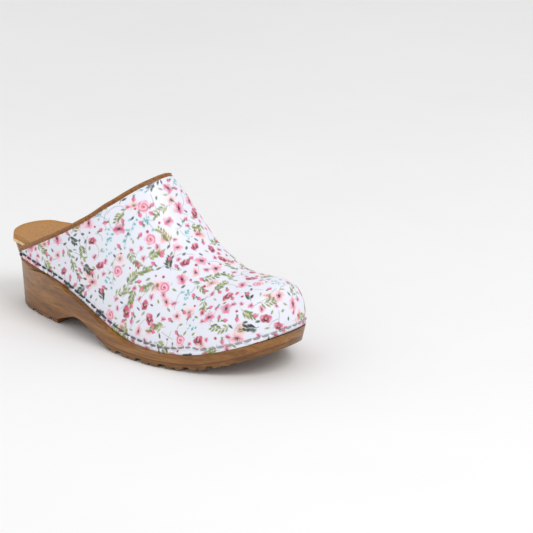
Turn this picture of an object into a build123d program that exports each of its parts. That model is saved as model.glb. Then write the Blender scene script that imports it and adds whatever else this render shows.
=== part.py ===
from build123d import *
from bisect import bisect_right
from math import cos, hypot, pi, sin
import os

# Closed-toe, open-back wooden clog, right foot, EU 38.
# Working axes: X heel to toe, Y towards the inner (medial) side, Z up, ground at Z = 0.

# ---------------------------------------------------------------- driving dimensions, mm
LENGTH = 256.0            # heel back to toe tip, along the rim of the upper
UPPER_T = 1.6             # printed leather
LINING_T = 0.9            # lining leather
PUFF_T = 0.7              # toe stiffener, let into the back of the printed leather
PUFF_BACK_X = 208.0       # where the stiffener stops
BOARD_T = 2.2             # insole board
FOAM_T = 2.8              # cushion under the heel and foot
SOCK_T = 1.4              # suede sock
BINDING_R = 1.9           # rolled edging round the mouth
LEATHER_DOWN = 2.0        # cut edge of the leather below the middle of the edging
STITCH_R = 0.6            # thick cord along the lower edge
STITCH_LEN = 4.9
STITCH_PITCH = 6.4
STITCH_UP = 3.6           # cord above the lower edge of the upper
THREAD_R = 0.28           # fine thread on the edging
THREAD_LEN = 2.6
THREAD_PITCH = 3.6
HEEL_TREAD_T = 3.0
HEEL_FRONT_X = 66.0
RIVET_HEAD_R = 1.35
RIVET_SHANK_R = 0.7
RIVET_X = 25.5
RIVET_Z = 43.0

# Rim of the upper in plan: x, outer half-width, inner half-width
RIM = [
    (2, 10.2, 10.0), (5, 15.8, 15.5), (10, 20.6, 20.6), (16, 24.8, 24.9), (23, 28.2, 28.2),
    (32, 31.2, 30.6), (45, 34.6, 31.4), (60, 38.0, 28.8), (80, 41.8, 24.2), (100, 45.2, 21.6),
    (120, 48.4, 22.6), (140, 51.2, 26.8), (160, 53.0, 32.8), (175, 53.4, 37.4), (190, 52.4, 41.0),
    (205, 49.6, 42.2), (220, 44.2, 40.0), (234, 36.2, 33.8), (246, 25.4, 24.2), (253, 15.0, 14.4),
]
TOE_TIP_Y = 0.6

# Side curves: x, z
LEDGE_Z = [
    (-12, 29.5), (15, 31), (35, 33), (58, 36), (70, 34.6), (80, 32), (100, 25.6), (120, 18),
    (140, 11.8), (156, 9.5), (172, 9.1), (190, 10.6), (205, 13.2), (220, 17), (235, 21.6),
    (248, 26.2), (256, 29.4), (266, 33.5),
]
UPPER_EDGE_Z = [
    (12, 41.6), (24, 40.6), (36, 39.2), (48, 37.8), (60, 36.2), (70, 34.75), (80, 32.1),
    (100, 25.65), (120, 18.05), (140, 11.85), (156, 9.55), (172, 9.15), (190, 10.65), (205, 13.25),
    (220, 17.05), (235, 21.65), (248, 26.25), (256, 29.45), (266, 33.55),
]
TOPLINE_Z = [
    (19, 39), (20.6, 42.8), (22.5, 45), (25.5, 47.2), (31, 50), (40, 54.4), (54, 61.8), (70, 70.2), (82, 77.2),
    (95, 85.6), (106, 93.6), (115, 101), (122, 107), (127.5, 111.4), (131.2, 114.2), (133.4, 117.2),
    (134.6, 122),
]
WOOD_BOTTOM_Z = [
    (66, 3), (70, 4.9), (76, 7.4), (84, 10.4), (92, 12.6), (100, 11.4), (108, 8.9), (116, 6.5),
    (124, 5.0), (137, 4.3), (158, 4.2), (178, 4.3), (190, 4.7), (202, 5.6), (215, 8.0), (227, 11.5),
    (237, 15.0), (246, 18.6), (256, 22.8), (266, 27),
]
TREAD_BOTTOM_Z = [
    (117, 5.3), (122, 3.6), (128, 1.6), (134, 0.4), (140, 0), (158, 0), (176, 0), (190, 0.4),
    (202, 1.4), (215, 3.9), (227, 7.5), (237, 11.0), (246, 14.8), (256, 19.2), (266, 23.6),
]
SEAT_Z = [
    (-12, 48.0), (10, 47.8), (24, 47.5), (42, 46.6), (60, 44.6), (80, 41), (100, 35.5), (120, 28),
    (140, 21.5), (157, 17.8), (172, 17), (190, 18), (205, 20.4), (220, 24), (235, 28.6),
    (248, 33), (266, 39),
]

# How far other outlines stand outside (+) or inside (-) the rim: x, distance
LEDGE_OUT = [(0, -5.6), (16, -5.6), (30, -3.8), (45, -1.6), (60, 0.3), (80, 1.2), (110, 2), (180, 2), (256, 3)]
GROUND_OUT = [
    (0, -8), (20, -6.6), (40, -5.6), (66, -5.4), (100, -3), (124, 0.4), (144, 2), (166, 2),
    (182, 0.4), (202, -1.8), (222, -3), (256, -4),
]
HEEL_RIM_OUT = [(0, 0), (11, 0), (24, -3.4), (45, -1.6), (60, 0.3), (80, 1.2), (110, 2), (180, 2), (256, 3)]

# The footbed and the wood under it keep inside the lining: outer side, then inner side
SEAT_OUT = (
    [
        (0, 0), (10, 0), (19, -3.7), (32, -3.7), (45, -4.1), (60, -5.3), (80, -6.9), (100, -8.6),
        (120, -10), (140, -11), (160, -12.2), (175, -12.4), (190, -11.6), (205, -9.2), (220, -5.3),
        (234, -3.8), (256, -4.4),
    ],
    [(0, 0), (10, 0), (19, -3.7), (160, -3.7), (190, -3.9), (205, -4.6), (220, -4), (234, -3.8), (256, -4.4)],
)
CORE_OUT = tuple([(0, 4), (9, 4)] + [(x, d - 0.2) for x, d in side[2:]] for side in SEAT_OUT)

# Arches of the upper: foot x, crest x, crest z, fullness down the side, fullness across
ARCHES = [
    (14, 14, 168, 4.2, 2.3), (24, 24, 167, 4.0, 2.3), (36, 36, 166, 3.8, 2.3), (50, 50, 163, 3.5, 2.3),
    (65, 65, 159, 3.2, 2.25), (80, 80, 153, 3.0, 2.2), (95, 95, 145, 2.8, 2.2), (108, 108, 135, 2.7, 2.15),
    (120, 120, 124.5, 2.6, 2.15), (130, 130, 116, 2.55, 2.15), (139, 140, 105.5, 2.5, 2.15),
    (148, 152, 90.5, 2.5, 2.15), (156, 165, 77.5, 2.5, 2.15), (164, 179, 68, 2.5, 2.2),
    (171, 193, 61.5, 2.5, 2.2), (177, 207, 58.8, 2.5, 2.25), (182, 221, 59, 2.5, 2.25),
    (185.5, 233, 59.8, 2.5, 2.25), (187.5, 243, 58.6, 2.5, 2.25), (188.7, 250, 53.6, 2.45, 2.2),
    (189.4, 254.2, 46.5, 2.4, 2.15), (189.8, 256.2, 37.5, 2.35, 2.1), (190, 256.8, 26, 2.3, 2.05),
    (190, 256.6, 12, 2.25, 2.0), (190, 256.4, 0, 2.2, 2.0),
]
CREST_Y = [
    (14, 0), (80, 0.4), (105, 3.4), (120, 6.6), (135, 9.4), (150, 10.4), (165, 9.2), (180, 7.2),
    (200, 5.2), (220, 3.6), (240, 1.8), (258, 0.6),
]

# Transverse notches of the treads: centre x, width at the ground, depth
FORE_NOTCHES = [
    (134, 2.6, 1.2), (143, 7, 2.4), (153, 2.8, 1.3), (163, 7, 2.4), (173, 2.8, 1.3), (183, 7, 2.4),
    (192.5, 2.8, 1.3), (201.5, 6.5, 2.3), (210, 2.6, 1.2), (218, 6, 2.1), (226, 2.4, 1.1), (233, 4, 1.3),
]
HEEL_NOTCHES = [(22, 2.4, 1.0), (35, 6, 1.8), (46, 2.6, 1.0), (57, 6, 1.8)]


# ---------------------------------------------------------------- curves
def smooth(table, column=1):
    """Monotone cubic through the rows of a table; straight beyond its ends."""
    xs = [row[0] for row in table]
    ys = [row[column] for row in table]
    slopes = [(ys[i + 1] - ys[i]) / (xs[i + 1] - xs[i]) for i in range(len(xs) - 1)]
    tangents = [slopes[0]]
    for before, after in zip(slopes, slopes[1:]):
        tangents.append(0.0 if before * after <= 0 else 2 * before * after / (before + after))
    tangents.append(slopes[-1])

    def value(x):
        if x <= xs[0]:
            return ys[0] + tangents[0] * (x - xs[0])
        if x >= xs[-1]:
            return ys[-1] + tangents[-1] * (x - xs[-1])
        i = bisect_right(xs, x) - 1
        h = xs[i + 1] - xs[i]
        u = (x - xs[i]) / h
        return (
            ys[i] * (1 + 2 * u) * (1 - u) ** 2 + tangents[i] * h * u * (1 - u) ** 2
            + ys[i + 1] * u * u * (3 - 2 * u) + tangents[i + 1] * h * u * u * (u - 1)
        )

    return value


lateral = smooth(RIM, 1)
medial = smooth(RIM, 2)
crest_y = smooth(CREST_Y)
upper_edge_z = smooth(UPPER_EDGE_Z)
topline_z = smooth(TOPLINE_Z)
arch_at = [smooth([(i,) + row for i, row in enumerate(ARCHES)], c) for c in range(1, 6)]


def rim_outline(out):
    """Closed plan outline of the rim, moved outwards by out(x), or by a pair for outer and inner side."""
    outer_out, inner_out = out if isinstance(out, tuple) else (out, out)
    loop = [(x, inner) for x, _, inner in RIM] + [(LENGTH, TOE_TIP_Y)]
    loop += [(x, -outer) for x, outer, _ in reversed(RIM)] + [(0.0, 0.0)]
    moved = []
    for i, (x, y) in enumerate(loop):
        x0, y0 = loop[i - 1]
        x1, y1 = loop[(i + 1) % len(loop)]
        span = hypot(x1 - x0, y1 - y0)
        d = inner_out(x) if y > 0 else outer_out(x)
        moved.append((x - d * (y1 - y0) / span, y + d * (x1 - x0) / span))
    return moved


def outline_wire(out, z):
    points = [Vector(x, y, z) for x, y in rim_outline(out)]
    return Wire([Edge.make_spline(points, periodic=True)])


def column(out, z_low, z_high):
    """Upright prism on a plan outline."""
    return Solid.extrude(Face(outline_wire(out, z_low)), Vector(0, 0, z_high - z_low))


def both_sides(tables, change=0.0):
    """Pair of offset functions for rim_outline."""
    curves = [smooth([(x, d + change) for x, d in table]) for table in tables]
    return tuple(curves)


def lifted(table, rise):
    return [(x, z + rise) for x, z in table]


def side_prism(low, high, half_width=90.0):
    """Solid between two side curves, right across the clog."""
    def curve(table):
        points = [Vector(x, -half_width, z) for x, z in table]
        return Edge.make_line(*points) if len(points) == 2 else Edge.make_spline(points)

    lower = curve(low)
    upper = curve(high)
    back = Edge.make_line(lower @ 0, upper @ 0)
    front = Edge.make_line(lower @ 1, upper @ 1)
    return Solid.extrude(Face(Wire([lower, front, upper, back])), Vector(0, 2 * half_width, 0))


# ---------------------------------------------------------------- skin of the upper
def skin_point(t, angle, inset):
    """Point of the upper's skin: t runs heel to toe, angle 0..pi outer to inner side."""
    foot_x, crest_x, crest_h, side_power, cross_power = (f(t) for f in arch_at)
    slope_l = (lateral(foot_x + 1) - lateral(foot_x - 1)) / 2
    slope_m = (medial(foot_x + 1) - medial(foot_x - 1)) / 2
    outer = lateral(foot_x) - inset * hypot(1, slope_l)
    inner = medial(foot_x) - inset * hypot(1, slope_m)
    lean = min(1.0, max(0.0, (crest_x - foot_x) / 50))
    crest_x -= inset * lean
    base = -2 * inset
    crest_h = crest_h - inset if crest_h > 1 else base
    middle = (inner - outer) / 2
    half = (inner + outer) / 2
    c = cos(angle)
    s = max(sin(angle), 0.0)
    across = (1 if c >= 0 else -1) * abs(c) ** (2 / cross_power)
    rise = s ** (2 / side_power)
    return Vector(
        foot_x + (crest_x - foot_x) * rise,
        middle - half * across + (crest_y(crest_x) - middle) * rise,
        base + (crest_h - base) * rise,
    )


def skin_solid(inset):
    """Closed solid under the skin moved inwards; inner ones reach further back and down."""
    sections = []
    for t in range(len(ARCHES)):
        points = [skin_point(t, pi * j / 24, inset) for j in range(25)]
        back = 3 * inset if t == 0 else 0
        points = [Vector(p.X - back, p.Y, p.Z) for p in points]
        sections.append(Wire([Edge.make_spline(points), Edge.make_line(points[-1], points[0])]))
    return Solid.make_loft(sections)


def solve(miss, low, high):
    """Root of miss between low and high by halving."""
    sign = miss(low) > 0
    for _ in range(40):
        mid = (low + high) / 2
        if (miss(mid) > 0) == sign:
            low = mid
        else:
            high = mid
    return (low + high) / 2


def arch_index(foot_x):
    return solve(lambda t: arch_at[0](t) - foot_x, 0, len(ARCHES) - 1)


def skin_normal(t, angle):
    """Outward unit normal of the skin."""
    along = skin_point(t + 0.02, angle, 0) - skin_point(t - 0.02, angle, 0)
    around = skin_point(t, angle + 0.01, 0) - skin_point(t, angle - 0.01, 0)
    return along.cross(around).normalized()


def height_line(level, feet, angles, t_range):
    """(t, angle) pairs where the skin meets z = level(x): up the outer side, round, down the inner."""
    def above(t, angle):
        p = skin_point(t, angle, 0)
        return p.Z - level(p.X)

    side = []
    for foot_x in feet:
        t = arch_index(foot_x)
        side.append((t, solve(lambda a, t=t: above(t, a), 0.01, pi / 2)))
    front = [(solve(lambda t, a=a: above(t, a), *t_range), a) for a in angles]
    inner_side = []
    for foot_x in reversed(feet):
        t = arch_index(foot_x)
        inner_side.append((t, solve(lambda a, t=t: above(t, a), pi - 0.01, pi / 2)))
    return side + front + inner_side


def spaced(pairs, inset, pitch, margin):
    """(t, angle) pairs an even distance apart along a line on the skin."""
    points = [skin_point(t, a, inset) for t, a in pairs]
    run = [0.0]
    for p, q in zip(points, points[1:]):
        run.append(run[-1] + (q - p).length)
    count = int((run[-1] - 2 * margin) / pitch)
    first = (run[-1] - count * pitch) / 2
    result = []
    for k in range(count + 1):
        s = first + k * pitch
        i = min(max(bisect_right(run, s) - 1, 0), len(run) - 2)
        u = (s - run[i]) / (run[i + 1] - run[i])
        result.append(tuple(m + (n - m) * u for m, n in zip(pairs[i], pairs[i + 1])))
    return result


def bar(start, end, radius):
    axis = end - start
    return Solid.make_cylinder(radius, axis.length, Plane(origin=start, z_dir=axis))


def stitch_row(pairs, place, radius, length, pitch):
    """Separate straight stitches laid along a line; place(t, angle) gives their axis."""
    half = length / pitch / 2
    bars = []
    for (t0, a0), (t1, a1) in zip(pairs, pairs[1:]):
        low, high = 0.5 - half, 0.5 + half
        start = place(t0 + (t1 - t0) * low, a0 + (a1 - a0) * low)
        end = place(t0 + (t1 - t0) * high, a0 + (a1 - a0) * high)
        bars.append(bar(start, end, radius))
    return bars


def notch(x, width, depth, z):
    """Transverse groove with sloping sides, opening downwards at height z."""
    half = width / 2
    points = [
        Vector(x - half * 1.2, -90, z - 4), Vector(x + half * 1.2, -90, z - 4), Vector(x + half, -90, z),
        Vector(x + half * 0.62, -90, z + depth), Vector(x - half * 0.62, -90, z + depth),
        Vector(x - half, -90, z),
    ]
    return Solid.extrude(Face(Wire.make_polygon(points, close=True)), Vector(0, 180, 0))


def slab(x0, x1, z0, z1):
    return Solid.make_box(x1 - x0, 180, z1 - z0, Plane(origin=(x0, -90, z0)))


def one_solid(shape):
    return max(shape.solids(), key=lambda piece: piece.volume)


# ---------------------------------------------------------------- sole
def build_sole():
    block = Solid.make_loft([
        outline_wire(smooth(GROUND_OUT), 0), outline_wire(smooth(LEDGE_OUT), 31),
        outline_wire(smooth(HEEL_RIM_OUT), 52),
    ], ruled=True)
    under_wood = side_prism([(66, -6), (266, -6)], WOOD_BOTTOM_Z)
    rebate = side_prism(LEDGE_Z, lifted(LEDGE_Z, 60)) - column(both_sides(CORE_OUT), -5, 100)
    wood = block & side_prism([(-12, HEEL_TREAD_T), (266, HEEL_TREAD_T)], SEAT_Z)
    wood = one_solid(wood - rebate - under_wood)

    heel_tread = block & slab(-12, HEEL_FRONT_X, 0, HEEL_TREAD_T)
    for x, width, depth in HEEL_NOTCHES:
        heel_tread -= notch(x, width, depth, 0)
    tread = block & side_prism(TREAD_BOTTOM_Z, lifted(TREAD_BOTTOM_Z, 14)) & under_wood
    tread_z = smooth(TREAD_BOTTOM_Z)
    for x, width, depth in FORE_NOTCHES:
        tread -= notch(x, width, depth, tread_z(x))
    return wood, one_solid(heel_tread), one_solid(tread)


def layer(out, low, high):
    """Sheet lying over the seat between two heights above it."""
    return one_solid(column(out, 5, 70) & side_prism(lifted(SEAT_Z, low), lifted(SEAT_Z, high)))


def build_footbed():
    edge = both_sides(SEAT_OUT)
    board = layer(edge, 0, BOARD_T)
    foam = layer(both_sides(SEAT_OUT, -SOCK_T), BOARD_T, BOARD_T + FOAM_T)
    sock = layer(edge, BOARD_T, BOARD_T + FOAM_T + SOCK_T) - foam
    return board, foam, one_solid(sock)


# ---------------------------------------------------------------- upper
def topline_normals():
    """Topline in side view with the direction square to it, pointing into the leather."""
    rows = []
    for i, (x, z) in enumerate(TOPLINE_Z):
        x0, z0 = TOPLINE_Z[max(i - 1, 0)]
        x1, z1 = TOPLINE_Z[min(i + 1, len(TOPLINE_Z) - 1)]
        span = hypot(x1 - x0, z1 - z0)
        rows.append((x, z, (z1 - z0) / span, (x1 - x0) / span))
    return rows


def mouth_line():
    return height_line(
        topline_z, [21, 23, 26, 31, 38, 46, 56, 68, 80, 91, 100],
        [pi * k / 24 for k in (6, 7, 8, 9, 10, 11, 12, 13, 14, 15, 16, 17, 18)], (arch_index(90), arch_index(138)),
    )


def stitch_line():
    return height_line(
        lambda x: upper_edge_z(x) + STITCH_UP,
        [27, 35, 45, 57, 70, 85, 100, 115, 130, 145, 158, 168, 176],
        [pi * k / 24 for k in (3, 4, 5.5, 7, 8.5, 10, 12, 14, 15.5, 17, 18.5, 20, 21)],
        (arch_index(165), len(ARCHES) - 1.5),
    )


def build_upper(wood):
    keep = side_prism(UPPER_EDGE_Z, lifted(UPPER_EDGE_Z, 190)) - slab(-20, 20.6, 0, 260)
    cut_line = [(x + LEATHER_DOWN * sx, z - LEATHER_DOWN * sz) for x, z, sx, sz in topline_normals()]
    mouth = side_prism(cut_line, [(cut_line[0][0], 240), (cut_line[-1][0], 240)])
    skins = [skin_solid(d) for d in (0, UPPER_T - PUFF_T, UPPER_T, UPPER_T + LINING_T)]
    trimmed = [(skin & keep) - mouth for skin in skins[:3]]
    upper = one_solid(trimmed[0] - skins[2])
    lining = one_solid(trimmed[2] - skins[3])
    puff_zone = slab(PUFF_BACK_X, 270, 0, 100) & side_prism(lifted(UPPER_EDGE_Z, 5.5), lifted(UPPER_EDGE_Z, 90))
    puff = one_solid((trimmed[1] & puff_zone) - skins[2])
    upper = one_solid(upper - puff)

    mid = (UPPER_T + LINING_T) / 2
    line = spaced(mouth_line(), mid, 6, 0.2)
    spine = Edge.make_spline([skin_point(t, a, 0) - skin_normal(t, a) * mid for t, a in line])
    ring = Wire.make_circle(BINDING_R, Plane(origin=spine @ 0, z_dir=spine % 0))
    edging = Solid.sweep(ring, spine)

    def thread_axis(t, a):
        out = BINDING_R + THREAD_R + 0.08 - mid
        return skin_point(t, a, 0) + skin_normal(t, a) * out

    def cord_axis(t, a):
        return skin_point(t, a, 0) + skin_normal(t, a) * (STITCH_R + 0.12)

    threads = stitch_row(spaced(line, mid, THREAD_PITCH, 2), thread_axis, THREAD_R, THREAD_LEN, THREAD_PITCH)
    cord_line = spaced(stitch_line(), 0, STITCH_PITCH, 0.5)
    cords = stitch_row(cord_line, cord_axis, STITCH_R, STITCH_LEN, STITCH_PITCH)
    return upper, lining, puff, edging, threads, cords


def build_rivets():
    rivets = []
    for low, high in ((0.01, pi / 2), (pi - 0.01, pi / 2)):
        t = arch_index(RIVET_X)
        a = solve(lambda angle: skin_point(t, angle, 0).Z - RIVET_Z, low, high)
        place = skin_point(t, a, 0)
        out = skin_normal(t, a)
        head = Solid.make_cylinder(RIVET_HEAD_R, 0.7, Plane(origin=place, z_dir=out))
        shank = Solid.make_cylinder(RIVET_SHANK_R, 7.2, Plane(origin=place - out * 7, z_dir=out))
        rivets.append(one_solid(head + shank))
    return rivets


def main():
    wood, heel_tread, tread = build_sole()
    board, foam, sock = build_footbed()
    upper, lining, puff, edging, threads, cords = build_upper(wood)
    rivets = build_rivets()
    for rivet in rivets:
        upper = one_solid(upper - rivet)
        lining = one_solid(lining - rivet)
        wood = one_solid(wood - rivet)
    pieces = {
        "sole_body": [wood],
        "heel_tread": [heel_tread],
        "forefoot_tread": [tread],
        "insole_board": [board],
        "footbed_foam": [foam],
        "sock_lining": [sock],
        "upper": [upper],
        "lining": [lining],
        "toe_puff": [puff],
        "topline_binding": [edging],
        "binding_stitches": threads,
        "edge_stitches": cords,
        "rear_rivets": rivets,
    }
    boxes = [solid.bounding_box() for solids in pieces.values() for solid in solids]
    middle_x = (min(b.min.X for b in boxes) + max(b.max.X for b in boxes)) / 2
    middle_y = (min(b.min.Y for b in boxes) + max(b.max.Y for b in boxes)) / 2
    low_z = min(b.min.Z for b in boxes)
    shift = Location((-middle_x, -middle_y, -low_z))
    os.makedirs("parts", exist_ok=True)
    for name, solids in pieces.items():
        moved = [solid.moved(shift) for solid in solids]
        shape = moved[0] if len(moved) == 1 else Compound(children=moved)
        shape.label = name
        export_step(shape, f"parts/{name}.step")
        print(name, len(moved), round(sum(m.volume for m in moved)), all(m.is_valid for m in moved))
    print("shift", middle_x, middle_y, low_z)


main()
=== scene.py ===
import bpy
import numpy as np
from math import cos, radians, sin, pi
from mathutils import Matrix, Vector
from mathutils.kdtree import KDTree


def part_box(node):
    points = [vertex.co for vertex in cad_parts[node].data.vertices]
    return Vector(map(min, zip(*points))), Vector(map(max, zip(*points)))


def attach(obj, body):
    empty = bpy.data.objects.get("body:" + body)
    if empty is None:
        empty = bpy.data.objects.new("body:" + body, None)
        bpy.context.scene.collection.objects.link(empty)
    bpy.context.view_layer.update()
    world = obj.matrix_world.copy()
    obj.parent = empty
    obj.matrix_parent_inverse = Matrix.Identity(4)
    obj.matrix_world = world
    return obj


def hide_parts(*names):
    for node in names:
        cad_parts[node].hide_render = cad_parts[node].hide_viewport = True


# Looks of the wooden clog: floral leather upper, cord stitches, rolled edging, dished suede sock,
# and materials for the pieces that are shown as CAD made them. Working units are millimetres.

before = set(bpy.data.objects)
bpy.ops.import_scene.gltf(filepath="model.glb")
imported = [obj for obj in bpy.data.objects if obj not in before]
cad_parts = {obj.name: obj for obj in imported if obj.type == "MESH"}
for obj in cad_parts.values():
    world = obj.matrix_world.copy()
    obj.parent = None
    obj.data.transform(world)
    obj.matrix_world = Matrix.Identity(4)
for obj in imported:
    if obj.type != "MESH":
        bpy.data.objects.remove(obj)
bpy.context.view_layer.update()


rng = np.random.default_rng(7)

# ---------------------------------------------------------------- shape of the clog, mm
RIM = np.array([
    (2, 10.2, 10.0), (5, 15.8, 15.5), (10, 20.6, 20.6), (16, 24.8, 24.9), (23, 28.2, 28.2),
    (32, 31.2, 30.6), (45, 34.6, 31.4), (60, 38.0, 28.8), (80, 41.8, 24.2), (100, 45.2, 21.6),
    (120, 48.4, 22.6), (140, 51.2, 26.8), (160, 53.0, 32.8), (175, 53.4, 37.4), (190, 52.4, 41.0),
    (205, 49.6, 42.2), (220, 44.2, 40.0), (234, 36.2, 33.8), (246, 25.4, 24.2), (253, 15.0, 14.4),
])
EDGE_Z = np.array([
    (12, 41.6), (24, 40.6), (36, 39.2), (48, 37.8), (60, 36.2), (70, 34.75), (80, 32.1),
    (100, 25.65), (120, 18.05), (140, 11.85), (156, 9.55), (172, 9.15), (190, 10.65), (205, 13.25),
    (220, 17.05), (235, 21.65), (248, 26.25), (256, 29.45), (266, 33.55),
])
TOPLINE_Z = np.array([
    (19, 39), (20.6, 42.8), (22.5, 45), (25.5, 47.2), (31, 50), (40, 54.4), (54, 61.8), (70, 70.2),
    (82, 77.2), (95, 85.6), (106, 93.6), (115, 101), (122, 107), (127.5, 111.4), (131.2, 114.2),
    (133.4, 117.2), (134.6, 122),
])
SEAT_Z = np.array([
    (-12, 48.0), (10, 47.8), (24, 47.5), (42, 46.6), (60, 44.6), (80, 41), (100, 35.5), (120, 28),
    (140, 21.5), (157, 17.8), (172, 17), (190, 18), (205, 20.4), (220, 24), (235, 28.6),
    (248, 33), (266, 39),
])
ARCHES = np.array([
    (14, 14, 168, 4.2, 2.3), (24, 24, 167, 4.0, 2.3), (36, 36, 166, 3.8, 2.3), (50, 50, 163, 3.5, 2.3),
    (65, 65, 159, 3.2, 2.25), (80, 80, 153, 3.0, 2.2), (95, 95, 145, 2.8, 2.2), (108, 108, 135, 2.7, 2.15),
    (120, 120, 124.5, 2.6, 2.15), (130, 130, 116, 2.55, 2.15), (139, 140, 105.5, 2.5, 2.15),
    (148, 152, 90.5, 2.5, 2.15), (156, 165, 77.5, 2.5, 2.15), (164, 179, 68, 2.5, 2.2),
    (171, 193, 61.5, 2.5, 2.2), (177, 207, 58.8, 2.5, 2.25), (182, 221, 59, 2.5, 2.25),
    (185.5, 233, 59.8, 2.5, 2.25), (187.5, 243, 58.6, 2.5, 2.25), (188.7, 250, 53.6, 2.45, 2.2),
    (189.4, 254.2, 46.5, 2.4, 2.15), (189.8, 256.2, 37.5, 2.35, 2.1), (190, 256.8, 26, 2.3, 2.05),
    (190, 256.6, 12, 2.25, 2.0), (190, 256.4, 0, 2.2, 2.0),
])
CREST_Y = np.array([
    (14, 0), (80, 0.4), (105, 3.4), (120, 6.6), (135, 9.4), (150, 10.4), (165, 9.2), (180, 7.2),
    (200, 5.2), (220, 3.6), (240, 1.8), (258, 0.6),
])
LENGTH = 256.0
TOE_TIP_Y = 0.6
REAR_X = 20.8             # rear end of the upper
BINDING_R = 1.9
LEATHER_T = 2.5           # upper and lining together
EDGE_TUCK = 1.8           # how far the open edges turn inwards
STITCH_UP = 3.6           # cord above the lower edge
STITCH_PITCH = 6.4
CORD_R = 0.68
BAND_TOP = 7.2            # top of the relief along the lower edge
MAIN_LOW = 7.0            # lower edge of the plain part of the upper
TUBE_SIDES = 28
SOCK_STATIONS = 360


def smooth(xs, ys):
    """Monotone cubic through points, for arrays; straight beyond the ends."""
    xs = np.asarray(xs, float)
    ys = np.asarray(ys, float)
    slope = np.diff(ys) / np.diff(xs)
    tangent = np.empty_like(ys)
    tangent[0], tangent[-1] = slope[0], slope[-1]
    product = slope[:-1] * slope[1:]
    total = slope[:-1] + slope[1:]
    tangent[1:-1] = np.where(product > 0, 2 * product / np.where(total == 0, 1, total), 0)

    def value(x):
        x = np.asarray(x, float)
        i = np.clip(np.searchsorted(xs, x, side="right") - 1, 0, len(xs) - 2)
        h = xs[i + 1] - xs[i]
        u = np.clip((x - xs[i]) / h, 0, 1)
        inside = (
            ys[i] * (1 + 2 * u) * (1 - u) ** 2 + tangent[i] * h * u * (1 - u) ** 2
            + ys[i + 1] * u * u * (3 - 2 * u) + tangent[i + 1] * h * u * u * (u - 1)
        )
        below = np.minimum(x - xs[0], 0) * tangent[0]
        above = np.maximum(x - xs[-1], 0) * tangent[-1]
        return inside + below + above

    return value


lateral = smooth(RIM[:, 0], RIM[:, 1])
medial = smooth(RIM[:, 0], RIM[:, 2])
edge_z = smooth(EDGE_Z[:, 0], EDGE_Z[:, 1])
topline_z = smooth(TOPLINE_Z[:, 0], TOPLINE_Z[:, 1])
seat_z = smooth(SEAT_Z[:, 0], SEAT_Z[:, 1])
crest_y = smooth(CREST_Y[:, 0], CREST_Y[:, 1])
arch = [smooth(range(len(ARCHES)), ARCHES[:, c]) for c in range(5)]
LAST = len(ARCHES) - 1


def skin(t, angle, inset=0.0):
    """Skin of the upper as (..., 3): t heel to toe, angle 0..pi from the outer to the inner side."""
    t, angle = np.broadcast_arrays(np.asarray(t, float), np.asarray(angle, float))
    foot, cx, cz, side_power, cross_power = (f(t) for f in arch)
    slope_l = (lateral(foot + 1) - lateral(foot - 1)) / 2
    slope_m = (medial(foot + 1) - medial(foot - 1)) / 2
    outer = lateral(foot) - inset * np.hypot(1, slope_l)
    inner = medial(foot) - inset * np.hypot(1, slope_m)
    lean = np.clip((cx - foot) / 50, 0, 1)
    cx = cx - inset * lean
    base = -2 * inset
    cz = np.where(cz > 1, cz - inset, base)
    middle = (inner - outer) / 2
    half = (inner + outer) / 2
    c = np.cos(angle)
    s = np.maximum(np.sin(angle), 0)
    across = np.sign(c) * np.abs(c) ** (2 / cross_power)
    rise = s ** (2 / side_power)
    return np.stack([
        foot + (cx - foot) * rise,
        middle - half * across + (crest_y(cx) - middle) * rise,
        base + (cz - base) * rise,
    ], -1)


def skin_normal(t, angle):
    """Outward unit normal of the skin."""
    along = skin(t + 0.02, angle) - skin(t - 0.02, angle)
    around = skin(t, np.asarray(angle) + 0.01) - skin(t, np.asarray(angle) - 0.01)
    n = np.cross(along, around)
    return n / np.maximum(np.linalg.norm(n, axis=-1, keepdims=True), 1e-9)


def halve(miss, low, high, steps=34):
    """Root of miss (rising) between low and high, for arrays."""
    low, high = np.broadcast_arrays(np.asarray(low, float), np.asarray(high, float))
    low, high = low.copy(), high.copy()
    for _ in range(steps):
        mid = (low + high) / 2
        up = miss(mid) < 0
        low = np.where(up, mid, low)
        high = np.where(up, high, mid)
    return (low + high) / 2


# Where the working axes sit in the frame, from the boxes of CAD pieces
sock_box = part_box("sock_lining")
upper_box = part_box("upper")
probe = skin(np.linspace(10, LAST, 200)[:, None], np.linspace(0.05, pi - 0.05, 90)[None])
SHIFT = np.array([
    -sock_box[0][0] * 1000, 0.0, -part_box("forefoot_tread")[0][2] * 1000,
])
SHIFT[1] = ((probe[..., 1].min() + probe[..., 1].max()) / 2
            - (upper_box[0][1] + upper_box[1][1]) / 2 * 1000)


def metres(points):
    """Working coordinates in millimetres to frame coordinates in metres."""
    return (np.asarray(points, float) - SHIFT) / 1000


# ---------------------------------------------------------------- mesh helpers
def make_object(name, points, faces, material, body="root", colour=None):
    """Smooth-shaded piece on a body, with a painted colour for each point if one is given."""
    mesh = bpy.data.meshes.new(name)
    mesh.from_pydata([tuple(p) for p in metres(points)], [], [tuple(int(i) for i in f) for f in faces])
    mesh.update()
    mesh.polygons.foreach_set("use_smooth", np.ones(len(mesh.polygons), bool))
    if colour is not None:
        layer = mesh.color_attributes.new("print", "FLOAT_COLOR", "POINT")
        opaque = np.c_[colour, np.ones(len(colour))].astype(np.float32)
        layer.data.foreach_set("color", opaque.ravel())
    mesh.materials.append(material)
    obj = bpy.data.objects.new(name, mesh)
    bpy.context.scene.collection.objects.link(obj)
    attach(obj, body)
    return obj


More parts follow.
